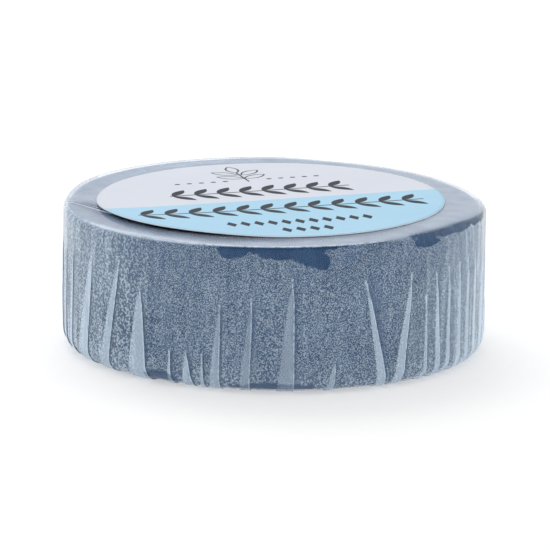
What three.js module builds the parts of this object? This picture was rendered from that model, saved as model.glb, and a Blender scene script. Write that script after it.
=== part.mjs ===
// A round shaving soap puck as it is sold: the pressed soap, the pleated clear film around it,
// the printed label on top of the film, and the closing label under it.
//
// The film is one sheet. It lies flat over the top, goes down the side, and folds in under the
// base. What is too much of it is laid in pleats, which start as points near the top edge, widen
// down the side and run on under the base to a small opening, where the sheet ends. The closing
// label holds them there. Four pieces, nothing that turns or slides.
//
// Millimetres, +Z up. The origin is the centre of the base, on the surface that the puck stands on.

import * as THREE from "three";

// ---- Soap ----
const SOAP_DIAMETER = 59;
const SOAP_HEIGHT = 20.25;
const SOAP_TOP_EDGE_RADIUS = 0.8;
const SOAP_BASE_EDGE_RADIUS = 2.2;

// ---- Film ----
const FILM_WALL = 0.15; // the sheet with the small creases that it lies in
const FIT_GAP = 0.05; // between any two pieces that lie on each other
const PLEAT_COUNT = 36;
const PLEAT_RISE = 0.3; // how far a laid pleat stands off the sheet
const PLEAT_WIDTH = 2.1; // at the base edge
const PLEAT_STEP_WIDTH = 0.3; // of the slope at each side of a pleat
const PLEAT_SHARE_AT_OPENING = 0.75; // of the way round the base opening that pleats cover
const BASE_OPENING_DIAMETER = 26; // where the sheet ends, behind the closing label

// ---- Labels ----
const TOP_LABEL_DIAMETER = 49.3;
const CLOSING_LABEL_DIAMETER = 42;
const LABEL_THICKNESS = 0.15;

// ---- How finely round shapes are cut ----
const SOAP_SEGMENTS = 96;
const LABEL_SEGMENTS = 72;
const EDGE_STEPS = 4; // along each quarter round
const SIDE_STEPS = 3; // down the film's side
const UNDERSIDE_STEPS = 2; // across the film's underside

// ---- Levels, from the surface that the puck stands on ----
const closingLabelTop = LABEL_THICKNESS;
const pleatsBottom = closingLabelTop + FIT_GAP;
const filmBottom = pleatsBottom + PLEAT_RISE;
const soapBottom = filmBottom + FILM_WALL + FIT_GAP;
const soapTop = soapBottom + SOAP_HEIGHT;
const filmTop = soapTop + FIT_GAP + FILM_WALL;
const topLabelBottom = filmTop + FIT_GAP;

// Points of a quarter round from one angle to another, in the half plane of a lathe profile.
// Angles are in degrees from the outward direction, and grow upwards.
function quarterRound(centreRadius, centreLevel, radius, fromAngle, toAngle) {
  const points = [];
  for (let i = 0; i <= EDGE_STEPS; i++) {
    const angle = THREE.MathUtils.degToRad(
      THREE.MathUtils.lerp(fromAngle, toAngle, i / EDGE_STEPS),
    );
    points.push(
      new THREE.Vector2(
        centreRadius + radius * Math.cos(angle),
        centreLevel + radius * Math.sin(angle),
      ),
    );
  }
  return points;
}

// The outline of the soap, or of the film at some distance off it, from the base to the top.
function puckOutline(offset) {
  const radius = SOAP_DIAMETER / 2 + offset;
  const baseEdge = SOAP_BASE_EDGE_RADIUS + offset;
  const topEdge = SOAP_TOP_EDGE_RADIUS + offset;
  const base = soapBottom - offset;
  const top = soapTop + offset;
  return {
    base,
    top,
    baseEdge: quarterRound(radius - baseEdge, base + baseEdge, baseEdge, -90, 0),
    topEdge: quarterRound(radius - topEdge, top - topEdge, topEdge, 0, 90),
  };
}

// A body turned about +Z. LatheGeometry turns its profile about Y, so it is stood up afterwards.
function turned(profile, segments) {
  return new THREE.LatheGeometry(profile, segments).rotateX(Math.PI / 2);
}

function disc(diameter, bottom, thickness) {
  const radius = diameter / 2;
  const profile = [
    new THREE.Vector2(0, bottom),
    new THREE.Vector2(radius, bottom),
    new THREE.Vector2(radius, bottom + thickness),
    new THREE.Vector2(0, bottom + thickness),
  ];
  return turned(profile, LABEL_SEGMENTS);
}

function makeSoap() {
  const outline = puckOutline(0);
  const profile = [
    new THREE.Vector2(0, outline.base),
    ...outline.baseEdge,
    ...outline.topEdge,
    new THREE.Vector2(0, outline.top),
  ];
  return turned(profile, SOAP_SEGMENTS);
}

// The film's profile. Each point has its place, the direction in which a pleat rises there, and
// how much of a pleat there is: 0 at the top edge, 1 at the base edge, 2 at the base opening.
function filmProfile() {
  const openingRadius = BASE_OPENING_DIAMETER / 2;
  const inside = puckOutline(FIT_GAP);
  const outside = puckOutline(FIT_GAP + FILM_WALL);
  const flat = (point) => ({ point, rise: new THREE.Vector2(0, 0), pleat: 0 });

  const underside = [];
  for (let i = 0; i <= UNDERSIDE_STEPS; i++) {
    const share = i / UNDERSIDE_STEPS;
    const radius = THREE.MathUtils.lerp(openingRadius, outside.baseEdge[0].x, share);
    underside.push({
      point: new THREE.Vector2(radius, outside.base),
      rise: new THREE.Vector2(0, -1),
      pleat: 2 - share,
    });
  }
  const baseEdge = outside.baseEdge.slice(1).map((point, i) => {
    const angle = THREE.MathUtils.degToRad(-90 + (90 * (i + 1)) / EDGE_STEPS);
    return {
      point,
      rise: new THREE.Vector2(Math.cos(angle), Math.sin(angle)),
      pleat: 1,
    };
  });
  const side = [];
  const sideBottom = outside.baseEdge[EDGE_STEPS];
  const sideTop = outside.topEdge[0];
  for (let i = 1; i < SIDE_STEPS; i++) {
    side.push({
      point: sideBottom.clone().lerp(sideTop, i / SIDE_STEPS),
      rise: new THREE.Vector2(1, 0),
      pleat: 1 - i / SIDE_STEPS,
    });
  }
  return [
    flat(new THREE.Vector2(0, inside.top)),
    ...inside.topEdge.toReversed().map(flat),
    ...inside.baseEdge.toReversed().map(flat),
    flat(new THREE.Vector2(openingRadius, inside.base)),
    ...underside,
    ...baseEdge,
    ...side,
    ...outside.topEdge.map(flat),
    flat(new THREE.Vector2(0, outside.top)),
  ];
}

// A pleat is cut by four columns of points: the foot and the crest of the slope at each side.
// They stand evenly where there is no pleat, and move to the pleat's two sides as it widens.
const PLEAT_COLUMNS = 4;

function makeFilm() {
  const profile = filmProfile();
  const columns = PLEAT_COUNT * PLEAT_COLUMNS;
  const geometry = turned(
    profile.map(({ point }) => point),
    columns,
  );
  const positions = geometry.getAttribute("position");
  const pitchAngle = (2 * Math.PI) / PLEAT_COUNT;
  const pitchAtBaseEdge = pitchAngle * (SOAP_DIAMETER / 2);
  const shareAtBaseEdge = PLEAT_WIDTH / pitchAtBaseEdge;
  const slopeShare = PLEAT_STEP_WIDTH / pitchAtBaseEdge;

  for (let column = 0; column <= columns; column++) {
    const turn = column % columns; // the last column closes on the first
    const pleatIndex = Math.floor(turn / PLEAT_COLUMNS);
    const place = turn % PLEAT_COLUMNS;
    const even = (place + 0.5) / PLEAT_COLUMNS - 0.5;
    const isCrest = place === 1 || place === 2;
    for (const [row, { point, rise, pleat }] of profile.entries()) {
      const towardsOpening = Math.max(0, pleat - 1);
      const share = THREE.MathUtils.lerp(
        shareAtBaseEdge,
        PLEAT_SHARE_AT_OPENING,
        towardsOpening,
      );
      const halfWidth = (share - slopeShare) / 2 + (isCrest ? 0 : slopeShare);
      const pleated = Math.sign(even) * halfWidth;
      const along = THREE.MathUtils.lerp(even, pleated, Math.min(1, pleat));
      const angle = (pleatIndex + 0.5 + along) * pitchAngle;
      const lift = isCrest ? PLEAT_RISE * Math.min(1, pleat) : 0;
      const radius = point.x + rise.x * lift;
      positions.setXYZ(
        column * profile.length + row,
        radius * Math.cos(angle),
        radius * Math.sin(angle),
        point.y + rise.y * lift,
      );
    }
  }
  geometry.computeVertexNormals();
  return geometry;
}

function piece(name, geometry, finish) {
  const mesh = new THREE.Mesh(geometry, new THREE.MeshStandardMaterial(finish));
  mesh.name = name;
  return mesh;
}

const puck = new THREE.Group();
puck.add(
  piece("soap_puck", makeSoap(), { color: 0x335a86, roughness: 0.45, metalness: 0 }),
  piece("film_wrap", makeFilm(), {
    color: 0xc6cedb,
    roughness: 0.15,
    metalness: 0,
    transparent: true,
    opacity: 0.4,
  }),
  piece("top_label", disc(TOP_LABEL_DIAMETER, topLabelBottom, LABEL_THICKNESS), {
    color: 0xdadfe9,
    roughness: 0.5,
    metalness: 0,
  }),
  piece("closing_label", disc(CLOSING_LABEL_DIAMETER, 0, LABEL_THICKNESS), {
    color: 0xf2f3f5,
    roughness: 0.6,
    metalness: 0,
  }),
);

export default puck;
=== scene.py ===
# %% [markdown]
# # A puck of shaving soap in clear film
#
# The object is a pressed round soap, wrapped in one sheet of clear film, with a printed label on
# top and a plain closing label underneath. A CAD model already holds its sizes. This lesson gives
# it its looks, in metres and in the same frame: +Z is up, the origin is the centre of the base,
# and the front of the puck faces -Y.
#
# The CAD model comes first, because every piece takes its place from it.

# %% Load the frame
import math

import bpy
import numpy as np
from mathutils import Euler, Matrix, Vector


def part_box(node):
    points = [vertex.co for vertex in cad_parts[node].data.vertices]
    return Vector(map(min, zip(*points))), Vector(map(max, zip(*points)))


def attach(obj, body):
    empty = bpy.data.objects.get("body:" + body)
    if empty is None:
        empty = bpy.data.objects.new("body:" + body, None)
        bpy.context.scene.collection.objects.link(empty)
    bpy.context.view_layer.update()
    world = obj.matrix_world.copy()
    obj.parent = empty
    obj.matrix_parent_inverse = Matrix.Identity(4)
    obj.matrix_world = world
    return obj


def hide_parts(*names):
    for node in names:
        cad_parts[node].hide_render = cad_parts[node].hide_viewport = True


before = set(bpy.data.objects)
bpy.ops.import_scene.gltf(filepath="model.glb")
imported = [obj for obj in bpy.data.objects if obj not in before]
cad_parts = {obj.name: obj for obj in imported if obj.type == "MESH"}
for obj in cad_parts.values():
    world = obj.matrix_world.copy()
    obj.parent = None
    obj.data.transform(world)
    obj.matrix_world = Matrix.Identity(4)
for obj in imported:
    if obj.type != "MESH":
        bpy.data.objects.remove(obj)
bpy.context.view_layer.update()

MM = 0.001  # one millimetre, in metres

# %% [markdown]
# ## The sizes that everything follows
#
# The soap's own box gives its radius and its two levels, and the two label nodes give theirs. All
# later cells work from these numbers in millimetres, so that a changed CAD model carries through.
# A box doesn't show how an edge is rounded, so the two edge radii are written as the CAD has them.


# %% Read the sizes from the CAD nodes
def node_size(node):
    """The radius, the bottom level and the top level of a round CAD node, in millimetres."""
    low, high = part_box(node)
    return (high[0] - low[0]) / 2 / MM, low[2] / MM, high[2] / MM


SOAP_RADIUS, SOAP_BOTTOM, SOAP_TOP = node_size("soap_puck")
LABEL_RADIUS, LABEL_BOTTOM, LABEL_TOP = node_size("top_label")
CLOSING_RADIUS, CLOSING_BOTTOM, CLOSING_TOP = node_size("closing_label")
TOP_EDGE_RADIUS = 0.8
BASE_EDGE_RADIUS = 2.2
print(f"soap: {2 * SOAP_RADIUS:.1f} mm across, {SOAP_TOP - SOAP_BOTTOM:.1f} mm high")

# %% [markdown]
# ## The camera
#
# A small object is shown from a little above with a long lens, which keeps its top and its side
# both in view and hardly tapers it. The camera looks along +Y, at a point near the middle of the
# puck, and is turned a little about its own axis, as a hand-set camera is.

# %% Set up the camera
CAMERA_DISTANCE = 600.0
CAMERA_ELEVATION = math.radians(13.29)
CAMERA_ROLL = math.radians(1.05)
CAMERA_AIM = (0.18, 0.0, 9.88)

camera_data = bpy.data.cameras.new("camera")
camera_data.lens = 276.3
camera_data.sensor_width = 36.0
camera_data.clip_start = 0.01
camera_data.clip_end = 20.0
camera = bpy.data.objects.new("camera", camera_data)
camera.location = (
    CAMERA_AIM[0] * MM,
    (CAMERA_AIM[1] - CAMERA_DISTANCE * math.cos(CAMERA_ELEVATION)) * MM,
    (CAMERA_AIM[2] + CAMERA_DISTANCE * math.sin(CAMERA_ELEVATION)) * MM,
)
aim = Euler((math.pi / 2 - CAMERA_ELEVATION, 0.0, 0.0)).to_matrix()
camera.rotation_euler = (aim @ Euler((0.0, 0.0, CAMERA_ROLL)).to_matrix()).to_euler()
bpy.context.scene.collection.objects.link(camera)
bpy.context.scene.camera = camera
bpy.context.scene.view_settings.view_transform = "Standard"
bpy.context.scene.cycles.transparent_max_bounces = 24
print("camera at", [round(place, 3) for place in camera.location])

# %% [markdown]
# ## Writing shader maths as sums
#
# A material is a sheet of small nodes. Wiring them by hand makes long code, so one small class
# wraps a node's output. A sum written on it adds the Math nodes, and its `node` method adds any
# other node. The material then reads like the sentence that describes it.


# %% The class that writes shader nodes
class Wire:
    """One output in a material's node sheet. Sums on it add Math nodes."""

    def __init__(self, tree, socket=None):
        self.tree = tree
        self.socket = socket

    def node(self, kind, settings=None, sockets=None, output=0):
        """Add a node, give it its settings, then a number, a colour or a Wire for each socket."""
        node = self.tree.nodes.new("ShaderNode" + kind)
        for name, value in (settings or {}).items():
            setattr(node, name, value)
        for name, value in (sockets or {}).items():
            if isinstance(value, Wire):
                self.tree.links.new(value.socket, node.inputs[name])
            else:
                node.inputs[name].default_value = value
        return Wire(self.tree, node.outputs[output] if node.outputs else None)

    def math(self, operation, *values):
        return self.node("Math", {"operation": operation}, dict(enumerate(values)))

    def __add__(self, other):
        return self.math("ADD", self, other)

    def __radd__(self, other):
        return self.math("ADD", other, self)

    def __sub__(self, other):
        return self.math("SUBTRACT", self, other)

    def __rsub__(self, other):
        return self.math("SUBTRACT", other, self)

    def __mul__(self, other):
        return self.math("MULTIPLY", self, other)

    def __rmul__(self, other):
        return self.math("MULTIPLY", other, self)

    def __truediv__(self, other):
        return self.math("DIVIDE", self, other)

    def __abs__(self):
        return self.math("ABSOLUTE", self)


# %% Small helpers for the finishes
def new_finish(name):
    """A material with an empty node sheet, and a Wire to start writing on it."""
    material = bpy.data.materials.new(name)
    material.use_nodes = True
    material.node_tree.nodes.clear()
    return material, Wire(material.node_tree)


def smooth(value, low, high):
    """0 below low, 1 above high, and an even curve between them."""
    sockets = {"Value": value, "From Min": low, "From Max": high}
    return value.node("MapRange", {"interpolation_type": "SMOOTHSTEP"}, sockets)


def mixed(factor, first, second):
    """A colour between two others. Colours have their own sockets on the Mix node."""
    settings = {"data_type": "RGBA", "clamp_factor": True}
    return factor.node("Mix", settings, {0: factor, 6: first, 7: second}, output=2)


def place_in(start, stretch=(1.0, 1.0, 1.0)):
    """The place in the object's own frame, in millimetres, with each axis stretched."""
    scale = [side / MM for side in stretch]
    coordinates = start.node("TexCoord", output=3)
    return start.node("VectorMath", {"operation": "MULTIPLY"}, {0: coordinates, 1: scale})


def x_and_y(vector):
    """The first two numbers of a vector."""
    x = vector.node("SeparateXYZ", {}, {0: vector})
    return x, Wire(x.tree, x.socket.node.outputs[1])


def noise(where, grain, detail=2.0, roughness=0.5):
    """Soft noise from 0 to 1, with features of about the grain in millimetres."""
    sockets = {"Vector": where, "Scale": 1 / grain, "Detail": detail, "Roughness": roughness}
    return where.node("TexNoise", {}, sockets)


def mesh_value(start, name):
    """A value that the mesh keeps at each of its points, under a name."""
    return start.node("Attribute", {"attribute_name": name}, output=2)


def colour(red, green, blue):
    """A colour as it is mixed on a screen, from 0 to 255, turned into the shader's own scale."""
    parts = []
    for part in (red / 255, green / 255, blue / 255):
        parts.append(part / 12.92 if part <= 0.04045 else ((part + 0.055) / 1.055) ** 2.4)
    return (*parts, 1.0)


def finished(start, sockets):
    """Close the sheet with the Principled shader and the material's output."""
    shader = start.node("BsdfPrincipled", {}, sockets)
    start.node("OutputMaterial", {}, {"Surface": shader})


# %% [markdown]
# ## Turning a profile
#
# The soap is pressed in a round die. Its profile is a flat top, a small quarter round, an upright
# side, a bigger quarter round and a flat base. A profile is kept as stations: a radius, a level,
# and the direction that points outwards there, so that a sheet can be laid on it at any distance.


# %% Stations of a quarter round and of a line
def quarter_round(centre, radius, start_angle, steps):
    """Stations down a quarter round. Angles are in degrees from the outward direction."""
    angles = np.radians(np.linspace(start_angle, start_angle - 90, steps + 1))
    outward = np.stack([np.cos(angles), np.sin(angles)], axis=1)
    return np.hstack([np.array(centre) + radius * outward, outward])


def straight(start, stop, outward, steps):
    """Stations along a line, without its two ends."""
    shares = np.linspace(0, 1, steps + 1)[1:-1, None]
    points = np.array(start) * (1 - shares) + np.array(stop) * shares
    return np.hstack([points, np.tile(outward, (len(points), 1))])


def puck_profile(offset, top_edge, inner_radius, top_shares, steps):
    """Stations from the top's centre over the edge, down the side and in under the base.

    The steps are those of each quarter round, of the side and of the underside.
    """
    edge_steps, side_steps, underside_steps = steps
    radius = SOAP_RADIUS + offset
    top_radii = np.array(top_shares) * (radius - top_edge)
    top, bottom = SOAP_TOP + offset, SOAP_BOTTOM - offset
    base_edge = BASE_EDGE_RADIUS + offset
    upper = quarter_round((radius - top_edge, top - top_edge), top_edge, 90, edge_steps)
    lower = quarter_round((radius - base_edge, bottom + base_edge), base_edge, 0, edge_steps)
    disc = [(reach, top, 0.0, 1.0) for reach in top_radii]
    side = straight(upper[-1, :2], lower[0, :2], (1.0, 0.0), side_steps)
    inner = (inner_radius, bottom)
    under = straight(lower[-1, :2], inner, (0.0, -1.0), underside_steps)
    return np.vstack([disc, upper, side, lower, under, [(*inner, 0.0, -1.0)]])


# %% [markdown]
# ## How the top differs from a true disc
#
# The die and the film leave the top edge uneven. At the front the film draws a sharp edge of its
# own. At the front left and at the back right the edge is rounder, and at the right it is rounder
# still. The top also slopes down to the left by a hundredth of its width. The label shows this,
# because it lies lower at that side.

# %% The roundness of the top edge, and the slope of the top
SHARPEST_EDGE, ROUNDEST_EDGE = 0.4, 2.4  # radii of the film's top edge
EDGE_ANGLES = [-180, -120, -95, -75, -30, -12, 30, 42, 62, 76, 95, 120, 165, 180]
EDGE_RADII = [0.6, 0.6, 0.8, 1.4, 1.4, 0.5, 0.5, 2.4, 2.4, 1.2, 1.6, 2.2, 2.0, 0.6]
SLOPE = 0.014  # of the top, down to the left
LEVEL_FROM = 20.0  # the slope begins this far to the right of the middle
SLOPE_LEVEL = 12.0  # below this level nothing slopes
HELD_SHARE = 0.75  # of the slope that the rim at the back left doesn't follow
HELD_RADIUS = 25.5  # where that rim begins
RIM_DROP = 0.35  # the base is a little hollow, so the puck stands on its rim
HOLLOW_RADIUS = 22.0  # where that rim begins


print(f"the film's top edge is rounded by {min(EDGE_RADII)} to {max(EDGE_RADII)} mm")


def edge_share(angle):
    """0 where the top edge is sharpest and 1 where it is roundest, by the angle from the front."""
    radius = np.interp((angle + 180.0) % 360.0 - 180.0, EDGE_ANGLES, EDGE_RADII)
    return (radius - SHARPEST_EDGE) / (ROUNDEST_EDGE - SHARPEST_EDGE)


def eased(value):
    """0 to 1 with an even curve, and flat outside."""
    value = np.clip(value, 0.0, 1.0)
    return value * value * (3.0 - 2.0 * value)


def settled(x, y, level):
    """How far a place lies below its true level. The rim at the back left is held up."""
    radius = np.hypot(x, y)
    held = HELD_SHARE * eased((radius - HELD_RADIUS) / 3.0) * eased(y / 12.0)
    slope = SLOPE * np.clip(LEVEL_FROM - x, 0.0, None) * eased((level - SLOPE_LEVEL) / 8.0)
    rim = RIM_DROP * eased((radius - HOLLOW_RADIUS) / 3.0) * eased((5.0 - level) / 4.0)
    return slope * (1.0 - held) + rim


# %% Make a mesh from rows of points
def grid_faces(rows, columns):
    """Quads between rows of points that close on themselves, seen from outside."""
    row = np.arange(rows - 1)[:, None] * columns
    column = np.arange(columns)[None, :]
    after = (column + 1) % columns
    below = row + columns
    quads = np.stack([row + column, below + column, below + after, row + after], axis=2)
    return quads.reshape(-1, 4).tolist()


def capped(faces, rows, columns):
    """Close a grid's first and last rows with one flat face each."""
    first = list(range(columns))
    last = [(rows - 1) * columns + column for column in reversed(range(columns))]
    return faces + [first, last]


def make_piece(name, points, faces, finish, stands_for):
    """A smooth mesh in the CAD's frame, from points in millimetres."""
    mesh = bpy.data.meshes.new(name)
    mesh.from_pydata((np.asarray(points) * MM).tolist(), [], faces)
    mesh.materials.append(finish)
    mesh.shade_smooth()
    piece = bpy.data.objects.new(name, mesh)
    bpy.context.scene.collection.objects.link(piece)
    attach(piece, "root")
    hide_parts(stands_for)
    print(f"{name}: {len(mesh.vertices)} points, {len(mesh.polygons)} faces")
    return piece


# %% [markdown]
# ## The soap
#
# Pressed shaving soap is dense, waxy and deep blue all through. Under tight film it looks wet,
# because the film clings to it and takes its gloss. That gloss belongs to the pair of them, so it
# is a clear coat on the soap, and the film itself stays almost invisible where it clings.

# %% The soap's finish
soap_finish, start = new_finish("blue_soap")
where = place_in(start)
mottle = noise(where, grain=4.0, detail=3.0)
pores = noise(where, grain=0.35, detail=3.0, roughness=0.6)
deep_blue = colour(28, 61, 98)
milky_blue = colour(42, 77, 114)
soap_colour = mixed(smooth(mottle * 0.6 + pores * 0.4, 0.35, 0.68), deep_blue, milky_blue)
press_marks = start.node("Bump", {}, {"Strength": 0.25, "Distance": 0.02 * MM, "Height": pores})
finished(
    start,
    {
        "Base Color": soap_colour,
        "Roughness": 0.42 + 0.2 * pores,
        "Normal": press_marks,
        "Specular IOR Level": 0.0,
        "Coat Weight": 1.0,
        "Coat Roughness": 0.1,
        "Coat IOR": 1.33,
    },
)
print("soap finish:", len(soap_finish.node_tree.nodes), "nodes")

# %% The soap's mesh
SOAP_COLUMNS = 192
sharp_soap, round_soap = [
    puck_profile(
        offset=0.0,
        top_edge=top_edge,
        inner_radius=1.0,
        top_shares=(0.04, 0.35, 0.6, 0.75, 0.82, 0.88, 0.93, 0.97),
        steps=(8, 20, 6),
    )
    for top_edge in (TOP_EDGE_RADIUS, ROUNDEST_EDGE)
]


def blended(sharp, round_one, angle):
    """Stations for each column, between those with the sharp and with the round top edge."""
    share = edge_share(angle)[..., None]
    return sharp[:, None, :] * (1 - share) + round_one[:, None, :] * share


def pressed_wobble(angle, level):
    """A pressed puck is true to a few hundredths."""
    turn = np.radians(angle)
    return -0.02 + 0.015 * np.sin(3 * turn + level / 4) + 0.01 * np.sin(7 * turn - level / 3)


def placed(stations, angle, lift):
    """Points from stations and angles, moved along the outward direction by a lift."""
    radius = stations[..., 0] + stations[..., 2] * lift
    level = stations[..., 1] + stations[..., 3] * lift
    turn = np.radians(angle - 90.0)
    x, y = radius * np.cos(turn), radius * np.sin(turn)
    return np.stack([x, y, level - settled(x, y, level)], axis=-1)


soap_rows = len(sharp_soap)
soap_angle = np.tile(np.linspace(0, 360, SOAP_COLUMNS, endpoint=False), (soap_rows, 1))
soap_stations = blended(sharp_soap, round_soap, soap_angle)
soap_lift = pressed_wobble(soap_angle, soap_stations[..., 1])
soap_points = placed(soap_stations, soap_angle, soap_lift).reshape(-1, 3)
soap_faces = capped(grid_faces(soap_rows, SOAP_COLUMNS), soap_rows, SOAP_COLUMNS)
soap = make_piece("pressed_soap", soap_points, soap_faces, soap_finish, "soap_puck")

# %% [markdown]
# ## The pleats of the film
#
# A flat sheet that is drawn down a cylinder has too much edge. The surplus is laid in knife
# pleats: the sheet runs under itself, back, and on again, so a pleat is three layers thick. Each
# starts as a point somewhere on the side and widens towards the base. Hands lay them, so no two
# are alike. Those at the front are chosen one by one: the angle at the base from the middle of the
# front, the lean of the pleat above it, both in degrees, its width at the base and the level of
# its point, both in millimetres. Those at the back are drawn by a seeded generator.

# %% Choose the pleats
FRONT_PLEATS = [
    (-83.0, 0.5, 1.3, 19.2),
    (-76.5, 0.5, 1.4, 19.0),
    (-70.5, 1.5, 1.2, 19.2),
    (-62.3, 5.6, 3.0, 19.3),
    (-51.5, 7.0, 2.2, 19.3),
    (-38.7, 1.1, 3.2, 15.6),
    (-28.5, 0.5, 0.6, 6.0),
    (-23.1, -0.3, 1.5, 5.6),
    (-18.9, 0.2, 0.6, 5.7),
    (-15.4, 1.4, 1.45, 13.7),
    (-7.3, 2.0, 1.45, 14.8),
    (3.7, 1.6, 2.3, 18.0),
    (15.8, 1.2, 1.0, 5.2),
    (30.8, -6.1, 1.35, 17.1),
    (35.8, 4.2, 1.6, 18.6),
    (45.0, 0.0, 0.6, 14.8),
    (50.0, -1.2, 1.0, 18.5),
    (54.5, 0.0, 0.9, 18.8),
    (59.8, 0.0, 1.1, 18.9),
    (64.5, 0.2, 1.1, 19.1),
    (69.7, 0.0, 1.2, 18.9),
    (76.4, 0.0, 1.3, 19.2),
    (82.5, 0.0, 1.3, 19.0),
]
BACK_PLEAT_COUNT = 32
BACK_START = 87.0  # where the drawn ones begin, in degrees from the middle of the front

draw = np.random.default_rng(11)
back_pitch = (360.0 - 2 * BACK_START) / BACK_PLEAT_COUNT
back_pleats = [
    (
        BACK_START + (i + 0.5) * back_pitch + draw.uniform(-0.8, 0.8),
        draw.normal(0.0, 1.2),
        draw.uniform(0.8, 2.0),
        draw.uniform(9.0, 19.3),
    )
    for i in range(BACK_PLEAT_COUNT)
]
pleats = sorted((angle % 360.0, *rest) for angle, *rest in FRONT_PLEATS + back_pleats)
base_angle, lean, base_width, point_level = (np.array(values) for values in zip(*pleats))
at_back = np.abs(base_angle - 180.0) < 180.0 - BACK_START
fold_side = np.where(at_back & (draw.random(len(pleats)) < 0.3), 1.0, -1.0)
print(f"{len(pleats)} pleats take up {2 * base_width.sum():.0f} mm of the sheet at the base edge")

# %% [markdown]
# ## Laying the sheet
#
# The sheet is one grid of points. Its rows run round the puck and its columns run from the top's
# centre to the end of the sheet under the base. Each pleat owns twelve columns. Above its point
# they lie side by side. Below it they move into the fold: in under, round the first crease, back,
# round the second crease, and out on top. Cloth simulation could crumple the sheet, but it would
# not lay neat pleats where they belong, so they are laid by formula.

# %% Values of the sheet
FILM_OFFSET = 0.12  # how far the sheet stands off the soap
OPENING_RADIUS = 13.0  # where the sheet ends, behind the closing label
LAYER = 0.07  # between the layers of a pleat
HEAPED_LAYER = 0.08  # under the base, where many pleats meet
CREASE = 0.05  # half the roundness of a crease
FREE_STEP = 0.62  # between columns where there is no pleat
FULL_WIDTH_LEVEL = 1.2  # where a pleat is as wide as it gets on the side
LOOSE_WIDTH = 1.3  # of a pleat's columns where it isn't folded
OPENING_SHARE = 0.28  # half a pleat's width at the opening, as a share of the room it has

top_shares = (0.02, 0.28, 0.52, 0.69, 0.77, *np.linspace(0.8, 0.993, 20))
film_stations, round_film = [
    puck_profile(
        offset=FILM_OFFSET,
        top_edge=top_edge,
        inner_radius=OPENING_RADIUS,
        top_shares=top_shares,
        steps=(9, 30, 12),
    )
    for top_edge in (SHARPEST_EDGE, ROUNDEST_EDGE)
]
station_level = film_stations[:, 1]
on_top = np.arange(len(film_stations)) < len(top_shares)
under_base = film_stations[:, 3] < -0.999

# The twelve columns of a pleat: their place across it in half widths, a step for the crease,
# and their height in layers.
FOLD_ACROSS = np.array([-1.0, 0.0, 1.0, 1.0, 1.0, 0.0, -1.0, -1.0, -1.0, 0.0, 1.0, 1.0])
FOLD_CREASE = np.array([0.0, 0.0, -1.0, 0.0, -1.0, 0.0, 1.0, 0.0, 1.0, 0.0, 0.0, 3.0])
FOLD_HEIGHT = np.array([0.0, 0.0, 0.0, 0.5, 1.0, 1.0, 1.0, 1.5, 2.0, 2.0, 1.7, 0.0])
FOLD_COLUMNS = len(FOLD_ACROSS)
FOLD_FROM_CREASE = np.array([9, 9, 9, 9, 9, 1, 0, 0, 0, 1, 2, 9])  # in half widths, 9 for far
FOLD_COVERED = np.array([1.0] * 10 + [0.5, 0.0])  # where the pleat covers the layer on the soap
FAR = 1.0  # a distance in millimetres that counts as far from any crease


# %% Work out one row of the sheet
gap_after = np.roll(base_angle, -1) - base_angle
gap_after[-1] += 360.0
room = np.minimum(gap_after, np.roll(gap_after, 1))  # degrees to the nearer neighbour
free_steps = np.round(np.radians(gap_after) * SOAP_RADIUS / FREE_STEP).astype(int)
free_columns = np.maximum(1, free_steps - 2)


def sheet_row(row):
    """For one row's columns: angle, height, share of the fold, distance from a crease, and cover."""
    level = station_level[row]
    radius = max(film_stations[row, 0], OPENING_RADIUS)
    height_share = np.clip((level - FULL_WIDTH_LEVEL) / (point_level - FULL_WIDTH_LEVEL), 0.0, 1.0)
    inward, growth = 0.0, 1.0 - height_share
    if under_base[row]:
        inward = 1.0 - (radius - OPENING_RADIUS) / (SOAP_RADIUS - BASE_EDGE_RADIUS - OPENING_RADIUS)
        growth = np.ones(len(pleats))
    folded = eased(growth / 0.3)
    layer = LAYER + (HEAPED_LAYER - LAYER) * eased(inward * 2.5)
    to_degrees = math.degrees(1.0 / (SOAP_RADIUS if on_top[row] else radius))
    half_width = base_width * growth**0.85 / 2 * to_degrees
    half_width = half_width * (1 - inward) + OPENING_SHARE * room * inward
    loose = np.minimum(LOOSE_WIDTH * to_degrees, 0.5 * room)
    centre = base_angle + lean * height_share

    folds = []
    for i in range(len(pleats)):
        way = 1 if fold_side[i] > 0 else -1
        even = np.linspace(-0.5, 0.5, FOLD_COLUMNS) * loose[i]
        crease = min(CREASE * to_degrees, half_width[i] / 2)
        laid = fold_side[i] * (FOLD_ACROSS * half_width[i] + FOLD_CREASE * crease)[::way]
        height, from_crease = FOLD_HEIGHT[::way], FOLD_FROM_CREASE[::way] * half_width[i] / to_degrees
        angle = centre[i] + even * (1 - folded[i]) + laid * folded[i]
        share = np.minimum(height, 1.0) * folded[i]
        crease_gap = FAR + (np.minimum(from_crease, FAR) - FAR) * eased(growth[i] / 0.1)
        covered = FOLD_COVERED[::way] * folded[i]
        folds.append(np.array([angle, height * layer * folded[i], share, crease_gap, covered]))
    parts = []
    for i in range(len(pleats)):
        after = (i + 1) % len(pleats)
        next_angle = folds[after][0, 0] + (360.0 if after == 0 else 0.0)
        between = np.linspace(folds[i][0, -1], next_angle, free_columns[i] + 2)[1:-1]
        flat = np.zeros_like(between)
        parts += [folds[i], np.array([between, flat, flat, flat + FAR, flat])]
    return np.concatenate(parts, axis=1)


rows = np.array([sheet_row(row) for row in range(len(film_stations))])
film_angle, film_height, film_layer, crease_gap, film_covered = np.moveaxis(rows, 1, 0)
FILM_COLUMNS = film_angle.shape[1]
print(f"the sheet has {len(film_stations)} rows and {FILM_COLUMNS} columns")

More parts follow.
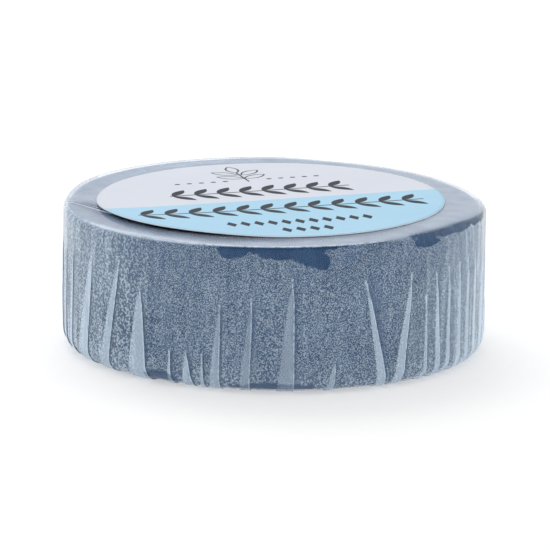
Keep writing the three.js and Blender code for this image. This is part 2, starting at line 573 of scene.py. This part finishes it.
# %% [markdown]
# ## Where the sheet isn't tight
#
# The film bridges what it can't reach. At the front left the label's edge holds it up, so it
# falls steeply from there and a straight crease runs from the label to the rim. Low on the left
# it is loose, like the corner of a bag. Everywhere else it waves by a few hundredths.

# %% How the label's edge holds the sheet up
LABEL_SHIFT = np.array([-0.62, 0.0])  # it is stuck on by hand, a little off the middle
LABEL_REST = -0.1  # it lies closer to the film than in the CAD model
LABEL_LIFT = 0.4  # at the raised edge of the label
RAISED_MIDDLE = -38.0  # degrees from the middle of the front
RAISED_REACH = 36.0
SHEET_SHARE = 0.85  # of the label's lift that the sheet follows
SHEET_FALL = 0.9  # how soon the sheet falls away beyond the label


def label_lift(angle):
    """How far the label's edge stands up at an angle in degrees from the middle of the front."""
    away = (angle - RAISED_MIDDLE + 180.0) % 360.0 - 180.0
    return LABEL_LIFT * np.exp(-((away / RAISED_REACH) ** 4)) + 0.03


def tent(angle, x, y):
    """How far the label's edge holds the sheet up, at a place on the top."""
    radius = np.hypot(x - LABEL_SHIFT[0], y - LABEL_SHIFT[1])
    beyond = radius - LABEL_RADIUS
    under_label = (radius / LABEL_RADIUS) ** 3
    held = np.where(beyond > 0, np.exp(-beyond / SHEET_FALL), under_label)
    return SHEET_SHARE * label_lift(angle) * held


# %% The straight crease at the front left
CREASE_RIM = np.array([-29.4, -1.2])  # where it leaves the rim
CREASE_LABEL = np.array([-19.4, -14.7])  # where it meets the label
CREASE_LENGTH = np.linalg.norm(CREASE_LABEL - CREASE_RIM)
CREASE_ALONG = (CREASE_LABEL - CREASE_RIM) / CREASE_LENGTH


def straight_crease(x, y):
    """A ridge along the straight crease, steep on its outer side."""
    from_rim_x, from_rim_y = x - CREASE_RIM[0], y - CREASE_RIM[1]
    share = (from_rim_x * CREASE_ALONG[0] + from_rim_y * CREASE_ALONG[1]) / CREASE_LENGTH
    outside = from_rim_x * CREASE_ALONG[1] - from_rim_y * CREASE_ALONG[0]
    ridge = np.where(outside > 0, np.exp(-outside / 0.7), np.exp(outside / 2.2))
    ends = eased(share / 0.15) * eased((1.25 - share) / 0.35)
    return (0.15 + 0.4 * np.clip(share, 0, 1)) * ridge * ends


print(f"the straight crease is {CREASE_LENGTH:.1f} mm long")

# %% Waves and slack of the sheet
SIDE_SLACK = 0.3  # how far the sheet stands off at the two sides
SWELL, RIPPLE = 0.05, 0.018  # heights of the long and of the short waves
BAG = 0.2  # how far the loose corner low on the left stands off


def waves(angle, level, seed, count, reach, rise):
    """A sum of soft waves round the puck that drift with the level."""
    pick = np.random.default_rng(seed)
    total = np.zeros(np.broadcast(angle, level).shape)
    for _ in range(count):
        turns = pick.integers(*reach)
        drift, phase = pick.uniform(-0.15, 0.15), pick.uniform(0, 2 * np.pi)
        total = total + np.sin(np.radians(angle) * turns + level * drift + phase)
    return rise * total / math.sqrt(count)


def film_loft(angle, radius, level):
    """How far the sheet stands out beyond its own path, in millimetres."""
    turn = np.radians(angle - 90.0)
    x, y = radius * np.cos(turn), radius * np.sin(turn)
    raised = tent(angle, x, y)
    outside_label = np.hypot(x - LABEL_SHIFT[0], y - LABEL_SHIFT[1]) > LABEL_RADIUS
    raised = np.where(outside_label, np.maximum(raised, straight_crease(x, y)), raised)
    side = eased((SOAP_TOP - level) / 3.0)
    swell = waves(angle, level, seed=3, count=6, reach=(5, 16), rise=SWELL)
    ripple = waves(angle, level, seed=4, count=8, reach=(25, 70), rise=RIPPLE)
    low_left = np.exp(-(((angle + 68.0) / 22.0) ** 2)) * np.exp(-(((level - 3.0) / 3.0) ** 2))
    return np.where(level > SOAP_TOP, raised, side * (swell + ripple) + BAG * low_left)


# %% Lift the sheet off the soap
signed_angle = (film_angle + 180.0) % 360.0 - 180.0
laid = blended(film_stations, round_film, film_angle)
loft = film_loft(signed_angle, laid[..., 0], laid[..., 1])
loft = np.where(under_base[:, None], 0.0, loft)
slack = SIDE_SLACK * np.sin(np.radians(signed_angle)) ** 2 * eased((laid[..., 0] - 25.0) / 4.5)
slack = np.where(signed_angle < 0.0, slack * eased((laid[..., 1] - 1.0) / 7.0), slack)
laid[..., 0] = laid[..., 0] + slack
film_points = placed(laid, film_angle, loft + film_height)
widest = np.hypot(film_points[..., 0], film_points[..., 1]).max()
print(f"the sheet's widest radius: {widest:.2f} mm, lowest level: {film_points[..., 2].min():.2f} mm")

# %% [markdown]
# ## The film's finish
#
# Clear film on soap shows three things. Where it clings, the soap's blue comes through dark and
# wet. Where it stands off by a hair, tiny trapped bubbles scatter the light and it is misted with
# pale specks. And every layer of film adds a faint haze, so a pleat, three layers thick, is paler.
# All three are one see-through value: a small amount everywhere, which adds up by itself where the
# sheet lies over itself, and the specks on the layer that lies on the soap. Toward the two sides the
# haze is raised as a painted sheen, which stands in for the film's reflection at a grazing angle.
# The flat top has no specks but a cloudy haze, partly real mist and partly a painted reflection of
# the bright room, with painted shade where the label's raised edge stands over it.
#
# The finish has to know what lies where. The mesh keeps that as named values at its points, which
# are worked out after the mesh is made, and the finish reads them by name.

# %% Mark what clings and what is misted
WET_PATCHES = [  # middle and half width in degrees, level and half height in millimetres
    (3.5, 15.5, 20.9, 0.75),
    (0.0, 5.0, 20.8, 0.8),
    (9.5, 3.6, 19.8, 1.5),
    (12.6, 2.6, 18.8, 1.2),
    (60.0, 20.0, 21.7, 1.4),
    (-11.0, 4.5, 20.4, 1.1),
    (1.5, 6.0, 20.3, 1.2),
    (45.5, 5.0, 20.2, 1.0),
    (76.0, 13.0, 21.2, 1.1),
    (90.0, 10.0, 21.4, 1.2),
    (0.5, 12.5, 0.6, 1.25),
    (-31.5, 5.5, 1.0, 1.4),
]
patches = list(WET_PATCHES)
BACK_PATCH_COUNT = 9  # two in three at the top edge, the others at the base
for i in range(BACK_PATCH_COUNT):
    edge_level = 20.7 if i % 3 else 1.0
    patches.append((draw.uniform(95, 265), draw.uniform(4, 14), edge_level, draw.uniform(0.8, 1.8)))
print(f"the film clings in {len(patches)} patches")


def wetness(angle, level):
    """Above 0 inside a patch where the film clings, and falling away outside it."""
    best = np.full(np.broadcast(angle, level).shape, -1.0)
    for middle, half_width, patch_level, half_height in patches:
        away = (angle - middle + 180.0) % 360.0 - 180.0
        reach = np.sqrt((away / half_width) ** 2 + ((level - patch_level) / half_height) ** 2)
        best = np.maximum(best, 1.0 - reach)
    return best


def add_values(piece, name, values):
    """A named value at each point of a mesh, which a finish can read."""
    layer = piece.data.attributes.new(name, "FLOAT", "POINT")
    layer.data.foreach_set("value", np.asarray(values, dtype=np.float32).ravel())


# The path along the sheet, as a level that runs on over the top and in under the base.
from_side = SOAP_RADIUS + FILM_OFFSET + slack - laid[..., 0]
film_path = laid[..., 1] + np.sign(laid[..., 3]) * from_side

# %% What lies where on the film
film_finish, start = new_finish("clear_film")
where = place_in(start)
down_the_side = place_in(start, stretch=(1.0, 1.0, 0.09))
edge_noise = noise(where, grain=1.2, detail=4.0, roughness=0.65)
cling = smooth(mesh_value(start, "wetness") + (edge_noise - 0.5) * 1.1, -0.05, 0.12)
flat_top = mesh_value(start, "flat_top")
on_top = mesh_value(start, "on_top")
# A painted sheen toward the two sides, which stands in for the film's reflection at a grazing angle.
painted_flank_sheen = mesh_value(start, "painted_flank_sheen")
upper_layer = mesh_value(start, "layer")

# %% Trapped bubbles, fine all over and coarser low down and at the left
fine_bubbles = noise(where, grain=0.15, detail=1.0)
large_bubbles = noise(where, grain=0.32, detail=2.0)
clusters = noise(where, grain=2.4, detail=2.0)
coarse = mesh_value(start, "coarse")
bubbles = fine_bubbles * (1 - coarse) + large_bubbles * coarse
specks = smooth(bubbles + (clusters - 0.5) * 0.08, 0.45, 0.6)
misted = specks * (1 - 0.75 * mesh_value(start, "covered")) * (1 - cling) * (1 - on_top)
# Fewer specks high up, and more low down, which partly paints in light bounced from the floor.
misted = misted * (1 - 0.2 * mesh_value(start, "high"))

# %% Creases, whitened and with painted highlights, and the haze of each layer
crease_noise = noise(where, grain=0.8, detail=2.0)
# Creases turn white: partly real whitening of the film, partly a painted highlight of each crease.
whitened_and_highlit = 1 - smooth(mesh_value(start, "crease_gap"), 0.05, 0.2)
whitened_and_highlit = whitened_and_highlit * smooth(crease_noise, 0.3, 0.6)
# Pale streaks down the side, from crinkles, made stronger toward the sides by the painted sheen.
streaks = noise(down_the_side, grain=0.9, detail=3.0)
pale_streaks = smooth(streaks, 0.42, 0.72) * (0.07 + 0.2 * painted_flank_sheen)
layer_haze = 0.1 + 0.26 * mesh_value(start, "outer") + 0.03 * painted_flank_sheen
upright = (0.05 + pale_streaks + 0.2 * painted_flank_sheen + layer_haze * upper_layer) * (1 - 0.8 * cling)
# More haze low down: partly the more crumpled film there, partly painted light bounced from the
# floor.
upright = upright + 0.08 * mesh_value(start, "low")
# The top's cloudy haze: partly real mist, partly a painted reflection of the bright room, with
# painted shade under the label's raised edge.
top_cloud = noise(where, grain=3.5, detail=3.0)
cloudy_haze_and_sheen = (0.38 + 0.32 * top_cloud) * (1 - mesh_value(start, "shade"))
haze = upright * (1 - on_top) + cloudy_haze_and_sheen * flat_top

# %% The straight crease, two painted highlight lines with a painted shade line between them
x, y = x_and_y(where)
outside_crease = (x - CREASE_RIM[0]) * CREASE_ALONG[1] - (y - CREASE_RIM[1]) * CREASE_ALONG[0]
# Two painted highlight lines along the crease's ridge, and a painted shade line in its fold.
painted_highlight_lines = 1 - smooth(abs(abs(outside_crease) - 0.3), 0.06, 0.18)
painted_shade_line = 1 - smooth(abs(outside_crease), 0.05, 0.3)
at_crease = on_top * smooth(0 - y, 0.5, 2.0) * smooth(0 - x, 18.0, 20.0)
haze = haze * (1 - 0.8 * painted_shade_line * at_crease) + 0.45 * painted_highlight_lines * at_crease

# %% The film's finish
see_through = haze + (0.42 - 0.09 * painted_flank_sheen) * misted + 0.35 * whitened_and_highlit
tension = noise(down_the_side, grain=0.45, detail=3.0, roughness=0.6)
creases = start.node("Bump", {}, {"Strength": 0.5, "Distance": 0.05 * MM, "Height": tension})
# Pale haze colours, which also carry the painted sheen at the sides and the painted reflection on
# top.
side_colour = mixed(misted, colour(200, 219, 238), colour(205, 225, 241))
film_colour = mixed(flat_top, side_colour, colour(197, 213, 233))
finished(
    start,
    {
        "Base Color": film_colour,
        "Roughness": 0.16 + 0.3 * misted,
        "Alpha": see_through,
        "Normal": creases,
        "IOR": 1.5,
    },
)
print("film finish:", len(film_finish.node_tree.nodes), "nodes")

# %% The film's mesh
film_rows = len(film_stations)
film_faces = grid_faces(film_rows, FILM_COLUMNS) + [list(range(FILM_COLUMNS))]
film_points = film_points.reshape(-1, 3)
film = make_piece("clear_film", film_points, film_faces, film_finish, "film_wrap")

# %% Values for the layers, the wet patches and the top
level_there = np.broadcast_to(film_stations[:, None, 1], film_angle.shape)
add_values(film, "layer", film_layer)
add_values(film, "covered", film_covered)
add_values(film, "wetness", wetness(signed_angle, film_path))
roundest = edge_share(film_angle) * (signed_angle > 30.0) * (signed_angle < 85.0)
facing_up = eased((laid[..., 3] - 0.55 - 0.33 * roundest) / (0.3 - 0.2 * roundest))
add_values(film, "on_top", facing_up)
# Where the sheet stands up off the top, its haze is left out: painted shade of the steep film there.
add_values(film, "flat_top", facing_up * (1 - eased(loft / 0.35)))
from_label = np.hypot(*(film_points[:, :2] - LABEL_SHIFT).T) - LABEL_RADIUS
from_label = np.clip(from_label, 0.0, None).reshape(film_angle.shape)
# Painted shade beyond the label's raised edge, strongest at the front left.
lifted_part = np.interp(signed_angle, [-85, -70, -10, 10, 35, 50], [0.0, 0.72, 0.72, 0.25, 0.25, 0.0])
add_values(film, "shade", lifted_part * np.exp(-((from_label / 2.3) ** 2)))

# %% Values for the sides, and for high and low places
from_front = np.abs(signed_angle)
# A painted sheen that grows toward the two sides and fades again toward the back, with more high at
# the left.
to_back = 1 - 0.85 * eased((from_front - 100.0) / 40.0)
left_top = np.exp(-(((signed_angle + 50.0) / 14.0) ** 2)) * eased((level_there - 8.0) / 7.0)
add_values(film, "painted_flank_sheen", 1.6 * eased((from_front - 30.0) / 55.0) * to_back + 0.45 * left_top)
left_low = np.exp(-(((signed_angle + 53.0) / 12.0) ** 2))
add_values(film, "outer", eased((from_front - 8.0) / 20.0) * (1 - 0.5 * left_low))
add_values(film, "high", eased((level_there - 14.0) / 6.0) - 0.5 * eased((6.0 - level_there) / 5.0))
left_coarse = 0.9 * eased((-signed_angle - 25.0) / 20.0) * eased((signed_angle + 160.0) / 40.0)
low = eased((5.0 - level_there) / 4.0)
add_values(film, "coarse", np.maximum(left_coarse, 0.7 * low))
add_values(film, "low", low)

# %% Values for the creases, with the one that the rim draws
# The rim's crease line is partly real whitening and partly a painted highlight of the sharp edge.
rim_tilt = np.degrees(np.arctan2(laid[..., 3], laid[..., 2]))
rim_radius = SHARPEST_EDGE + edge_share(film_angle) * (ROUNDEST_EDGE - SHARPEST_EDGE)
rim_gap = np.where(rim_tilt > 1.0, np.radians(np.abs(rim_tilt - 55.0)) * rim_radius, FAR)
rim_gap = rim_gap + FAR * roundest
add_values(film, "crease_gap", np.minimum(crease_gap, rim_gap))

# %% [markdown]
# ## The printed label
#
# A round paper label is stuck on the film. Its back half is off-white and its front half pale
# blue. The print is generic: a leaf sprig in thin lines, and leaf garlands and rows of diamonds
# and dashes where a maker's words would stand. It could be painted on an image, but drawn by
# formula it stays sharp at any size. Each mark is a mask from 0 to 1, and the ink's colour is laid
# where a mask is 1.

# %% Masks for the marks
LABEL_TURN = math.radians(18.1)  # the print is turned this much, seen from above
INK_EDGE = 0.05


def turned_place(start, angle):
    """The place along and across a line at an angle on the label, in millimetres."""
    x, y = x_and_y(place_in(start))
    return x * math.cos(angle) + y * math.sin(angle), y * math.cos(angle) - x * math.sin(angle)


def inside(distance):
    """1 where a distance is below 0, with a soft edge as ink has."""
    return 1 - smooth(distance, -INK_EDGE, INK_EDGE)


def repeated(along, reach, count):
    """For a row of marks: the place from the nearest mark's middle, and a mask of the row."""
    pitch = (reach[1] - reach[0]) / count
    place = (along.math("FRACT", (along - reach[0]) / pitch) - 0.5) * pitch
    return place, inside(abs(along - (reach[0] + reach[1]) / 2) - (reach[1] - reach[0]) / 2)


def dash_row(along, across, middle, reach, height, count, filled):
    """A row of even dashes: the share of the row that is filled, and how tall a dash is."""
    place, within = repeated(along, reach, count)
    length = filled * (reach[1] - reach[0]) / count
    past_end = along.math("MAXIMUM", abs(place) - (length - height) / 2, 0.0)
    off_line = across - middle
    return inside(along.math("SQRT", past_end * past_end + off_line * off_line) - height / 2) * within


def leaf(along, across, middle, angle, length, width, line):
    """The outline of a pointed leaf."""
    x, y = along - middle[0], across - middle[1]
    u = x * math.cos(angle) + y * math.sin(angle)
    v = y * math.cos(angle) - x * math.sin(angle)
    share = u / (length / 2)
    half = (1 - share * share) * (width / 2)
    return inside(abs(abs(v) - half) - line / 2) * inside(abs(u) - length / 2)


def diamond_row(along, across, middle, reach, height, width, count):
    """A row of filled diamonds."""
    place, within = repeated(along, reach, count)
    half_width, half_height = width / 2, height / 2
    scale = half_width * half_height / math.hypot(half_width, half_height)
    edge = (abs(place) / half_width + abs(across - middle) / half_height - 1) * scale
    return inside(edge) * within


# %% Masks for the garlands
LEAF_SLANT = math.radians(52.0)
LEAF_WIDTH = 1.5
GARLAND_STEM = 0.4


def garland(along, across, middle, reach, height, count):
    """A straight stem with pairs of slanted leaves."""
    place, within = repeated(along, reach, count)
    away = abs(across - middle)
    rise = away - height / 4
    half_length = height / 4 / math.sin(LEAF_SLANT)
    u = (place * math.cos(LEAF_SLANT) + rise * math.sin(LEAF_SLANT)) / half_length
    v = rise * math.cos(LEAF_SLANT) - place * math.sin(LEAF_SLANT)
    leaves = inside(abs(v) - (1 - u * u) * (LEAF_WIDTH / 2))
    stem = inside(away - GARLAND_STEM / 2)
    return leaves.math("MAXIMUM", leaves, stem) * within


# %% The marks of the print
label_finish, start = new_finish("label_paper")
along, across = turned_place(start, LABEL_TURN)
marks = [
    garland(along, across, middle=5.75, reach=(-13.8, 13.0), height=6.8, count=8),
    garland(along, across, middle=-6.1, reach=(-21.9, 20.1), height=6.8, count=12),
    diamond_row(along, across, middle=-14.8, reach=(-12.0, 9.7), height=3.2, width=1.5, count=11),
    diamond_row(along, across, middle=-19.7, reach=(-5.6, 2.4), height=3.2, width=1.5, count=4),
    dash_row(along, across, middle=13.2, reach=(-11.4, -2.4), height=0.6, count=5, filled=0.45),
    dash_row(along, across, middle=13.2, reach=(2.4, 11.4), height=0.6, count=5, filled=0.45),
]
LEAVES = [(0.0, 20.6, 90), (-1.9, 18.2, 140), (1.9, 18.2, 40), (-1.8, 15.4, 150), (1.8, 15.4, 30)]
for middle_x, middle_y, angle in LEAVES:
    marks.append(leaf(along, across, (middle_x, middle_y), math.radians(angle), 4.2, 1.7, 0.28))
stem = inside(abs(along) - 0.14) * inside(abs(across - 15.4) - 3.2)
ink = stem
for mark in marks:
    ink = ink.math("MAXIMUM", ink, mark)
print(f"the print has {len(marks) + 1} kinds of marks and leaves")

# %% The label's finish
normal_up = start.node("SeparateXYZ", {}, {0: start.node("TexCoord", output=1)}, output=2)
printed_face = smooth(normal_up, 0.6, 0.8)
paper_grain = noise(place_in(start), grain=0.12, detail=3.0)
paper_cloud = noise(place_in(start), grain=9.0, detail=2.0)
white_half = mixed(paper_cloud, colour(197, 201, 211), colour(203, 207, 216))
blue_half = mixed(paper_cloud, colour(158, 195, 217), colour(165, 202, 223))
paper = mixed(inside(across + 0.4), white_half, blue_half)
ink_colour = mixed(paper_grain, colour(22, 30, 40), colour(32, 42, 53))
printed = mixed(ink * printed_face, paper, ink_colour)
label_colour = mixed(printed_face, colour(236, 238, 242), printed)
fibres = start.node("Bump", {}, {"Strength": 0.15, "Distance": 0.01 * MM, "Height": paper_grain})
finished(
    start,
    {
        "Base Color": label_colour,
        "Roughness": 0.5 - 0.12 * ink + 0.1 * paper_grain,
        "Normal": fibres,
        "IOR": 1.45,
        "Specular IOR Level": 0.05,
    },
)
print("label finish:", len(label_finish.node_tree.nodes), "nodes")


# %% The label's mesh
RIM_ROUND = 0.04  # how far a label's faces end inside its rim


def thin_disc(radii, rim_radius, columns, top_level, thickness, shift=(0.0, 0.0)):
    """Points and faces of a thin disc, from rings over its top, at its rim and back under it."""
    stations = [(radius, 0.0) for radius in radii] + [(rim_radius, 0.5)]
    stations += [(radius, 1.0) for radius in reversed(radii)]
    angles = np.linspace(0, 360, columns, endpoint=False)
    turn = np.radians(angles - 90.0)
    rings = []
    for radius, share in stations:
        levels = (top_level(radius, angles) - share * thickness) * np.ones(columns)
        x, y = radius * np.cos(turn) + shift[0], radius * np.sin(turn) + shift[1]
        rings.append(np.stack([x, y, levels - settled(x, y, levels)], axis=1))
    faces = capped(grid_faces(len(stations), columns), len(stations), columns)
    return np.vstack(rings), faces


def label_top_level(radius, angle):
    """The label lies on the film, waves a little, and is held up at its raised edge."""
    share = (radius / LABEL_RADIUS) ** 3
    wave = 0.02 * np.sin(np.radians(angle) * 5 + radius / 4) + 0.015 * np.sin(np.radians(angle) * 9)
    return LABEL_TOP + LABEL_REST + share * (label_lift(angle) + wave)


label_points, label_faces = thin_disc(
    radii=[0.5, 5, 10, 14, 17, 19.5, 21.5, 23, 24, LABEL_RADIUS - RIM_ROUND],
    rim_radius=LABEL_RADIUS,
    columns=180,
    top_level=label_top_level,
    thickness=LABEL_TOP - LABEL_BOTTOM,
    shift=LABEL_SHIFT,
)
make_piece("printed_label", label_points, label_faces, label_finish, "top_label")

# %% [markdown]
# ## The closing label
#
# Underneath, a plain round label holds the gathered end of the film. It is stuck over the heap of
# pleats, so they press through it as faint rays.

# %% The closing label's finish
closing_finish, start = new_finish("closing_paper")
where = place_in(start)
fibre = noise(where, grain=0.15, detail=3.0)
cloud = noise(where, grain=6.0, detail=2.0)
closing_colour = mixed(cloud, colour(232, 234, 238), colour(242, 243, 246))
fibres = start.node("Bump", {}, {"Strength": 0.2, "Distance": 0.01 * MM, "Height": fibre})
finished(
    start,
    {"Base Color": closing_colour, "Roughness": 0.55 + 0.15 * fibre, "Normal": fibres, "IOR": 1.45},
)
print("closing label finish:", len(closing_finish.node_tree.nodes), "nodes")

# %% The closing label's mesh
RAY_HEIGHT = 0.03  # half the height of a pleat that presses through


def closing_top_level(radius, angle):
    """Faint rays where the pleats press through, which fade towards the middle."""
    share = np.clip((radius - 5.0) / 10.0, 0.0, 1.0)
    return CLOSING_TOP + RAY_HEIGHT * share * (1 + np.sin(np.radians(angle) * len(pleats)))


points, faces = thin_disc(
    radii=[0.5, 4, 7, 10, 13, 16, 18.5, 20.3, CLOSING_RADIUS - RIM_ROUND],
    rim_radius=CLOSING_RADIUS,
    columns=4 * len(pleats),
    top_level=closing_top_level,
    thickness=CLOSING_TOP - CLOSING_BOTTOM,
)
make_piece("base_label", points, faces, closing_finish, "closing_label")

# %% [markdown]
# ## The studio
#
# The puck stands on a white table in soft light from all sides. One large lamp stands high behind
# it, a little to the left, so its shadow is faint and falls to the front. The table also glows a
# little, as white paper does in a bright studio, so that it stays white far from the puck.

# %% The floor
floor_finish, start = new_finish("white_table")
floor_grain = noise(place_in(start), grain=2.0, detail=2.0)
floor_colour = mixed(floor_grain, (0.53, 0.53, 0.53, 1.0), (0.55, 0.55, 0.55, 1.0))
finished(
    start,
    {
        "Base Color": floor_colour,
        "Roughness": 0.8,
        "Specular IOR Level": 0.0,
        "Emission Color": (1.0, 1.0, 1.0, 1.0),
        "Emission Strength": 0.435,
    },
)

FLOOR_REACH = 3000.0
FLOOR_GAP = 0.02  # so that the floor and the closing label never share a plane
floor_mesh = bpy.data.meshes.new("table")
reach = FLOOR_REACH * MM
level = -FLOOR_GAP * MM
corners = [(x * reach, y * reach, level) for x, y in ((-1, -1), (1, -1), (1, 1), (-1, 1))]
floor_mesh.from_pydata(corners, [], [(0, 1, 2, 3)])
floor_mesh.materials.append(floor_finish)
floor = bpy.data.objects.new("table", floor_mesh)
bpy.context.scene.collection.objects.link(floor)
print(f"the table lies {FLOOR_GAP} mm under the puck")

# %% The light
world = bpy.data.worlds.new("soft_white")
world.use_nodes = True
sky = world.node_tree.nodes["Background"].inputs
sky["Color"].default_value = (1.0, 1.0, 1.0, 1.0)
sky["Strength"].default_value = 0.92
bpy.context.scene.world = world


def soft_lamp(name, place, size, power):
    """A square lamp that faces the puck, at a place in millimetres."""
    lamp_data = bpy.data.lights.new(name, "AREA")
    lamp_data.size = size * MM
    lamp_data.energy = power
    lamp = bpy.data.objects.new(name, lamp_data)
    lamp.location = Vector(place) * MM
    lamp.rotation_euler = (-lamp.location).to_track_quat("-Z", "Y").to_euler()
    bpy.context.scene.collection.objects.link(lamp)
    print(f"{name}: {power} W from {place} mm")


soft_lamp("key_lamp", (-160.0, 460.0, 560.0), 500.0, 2.4)
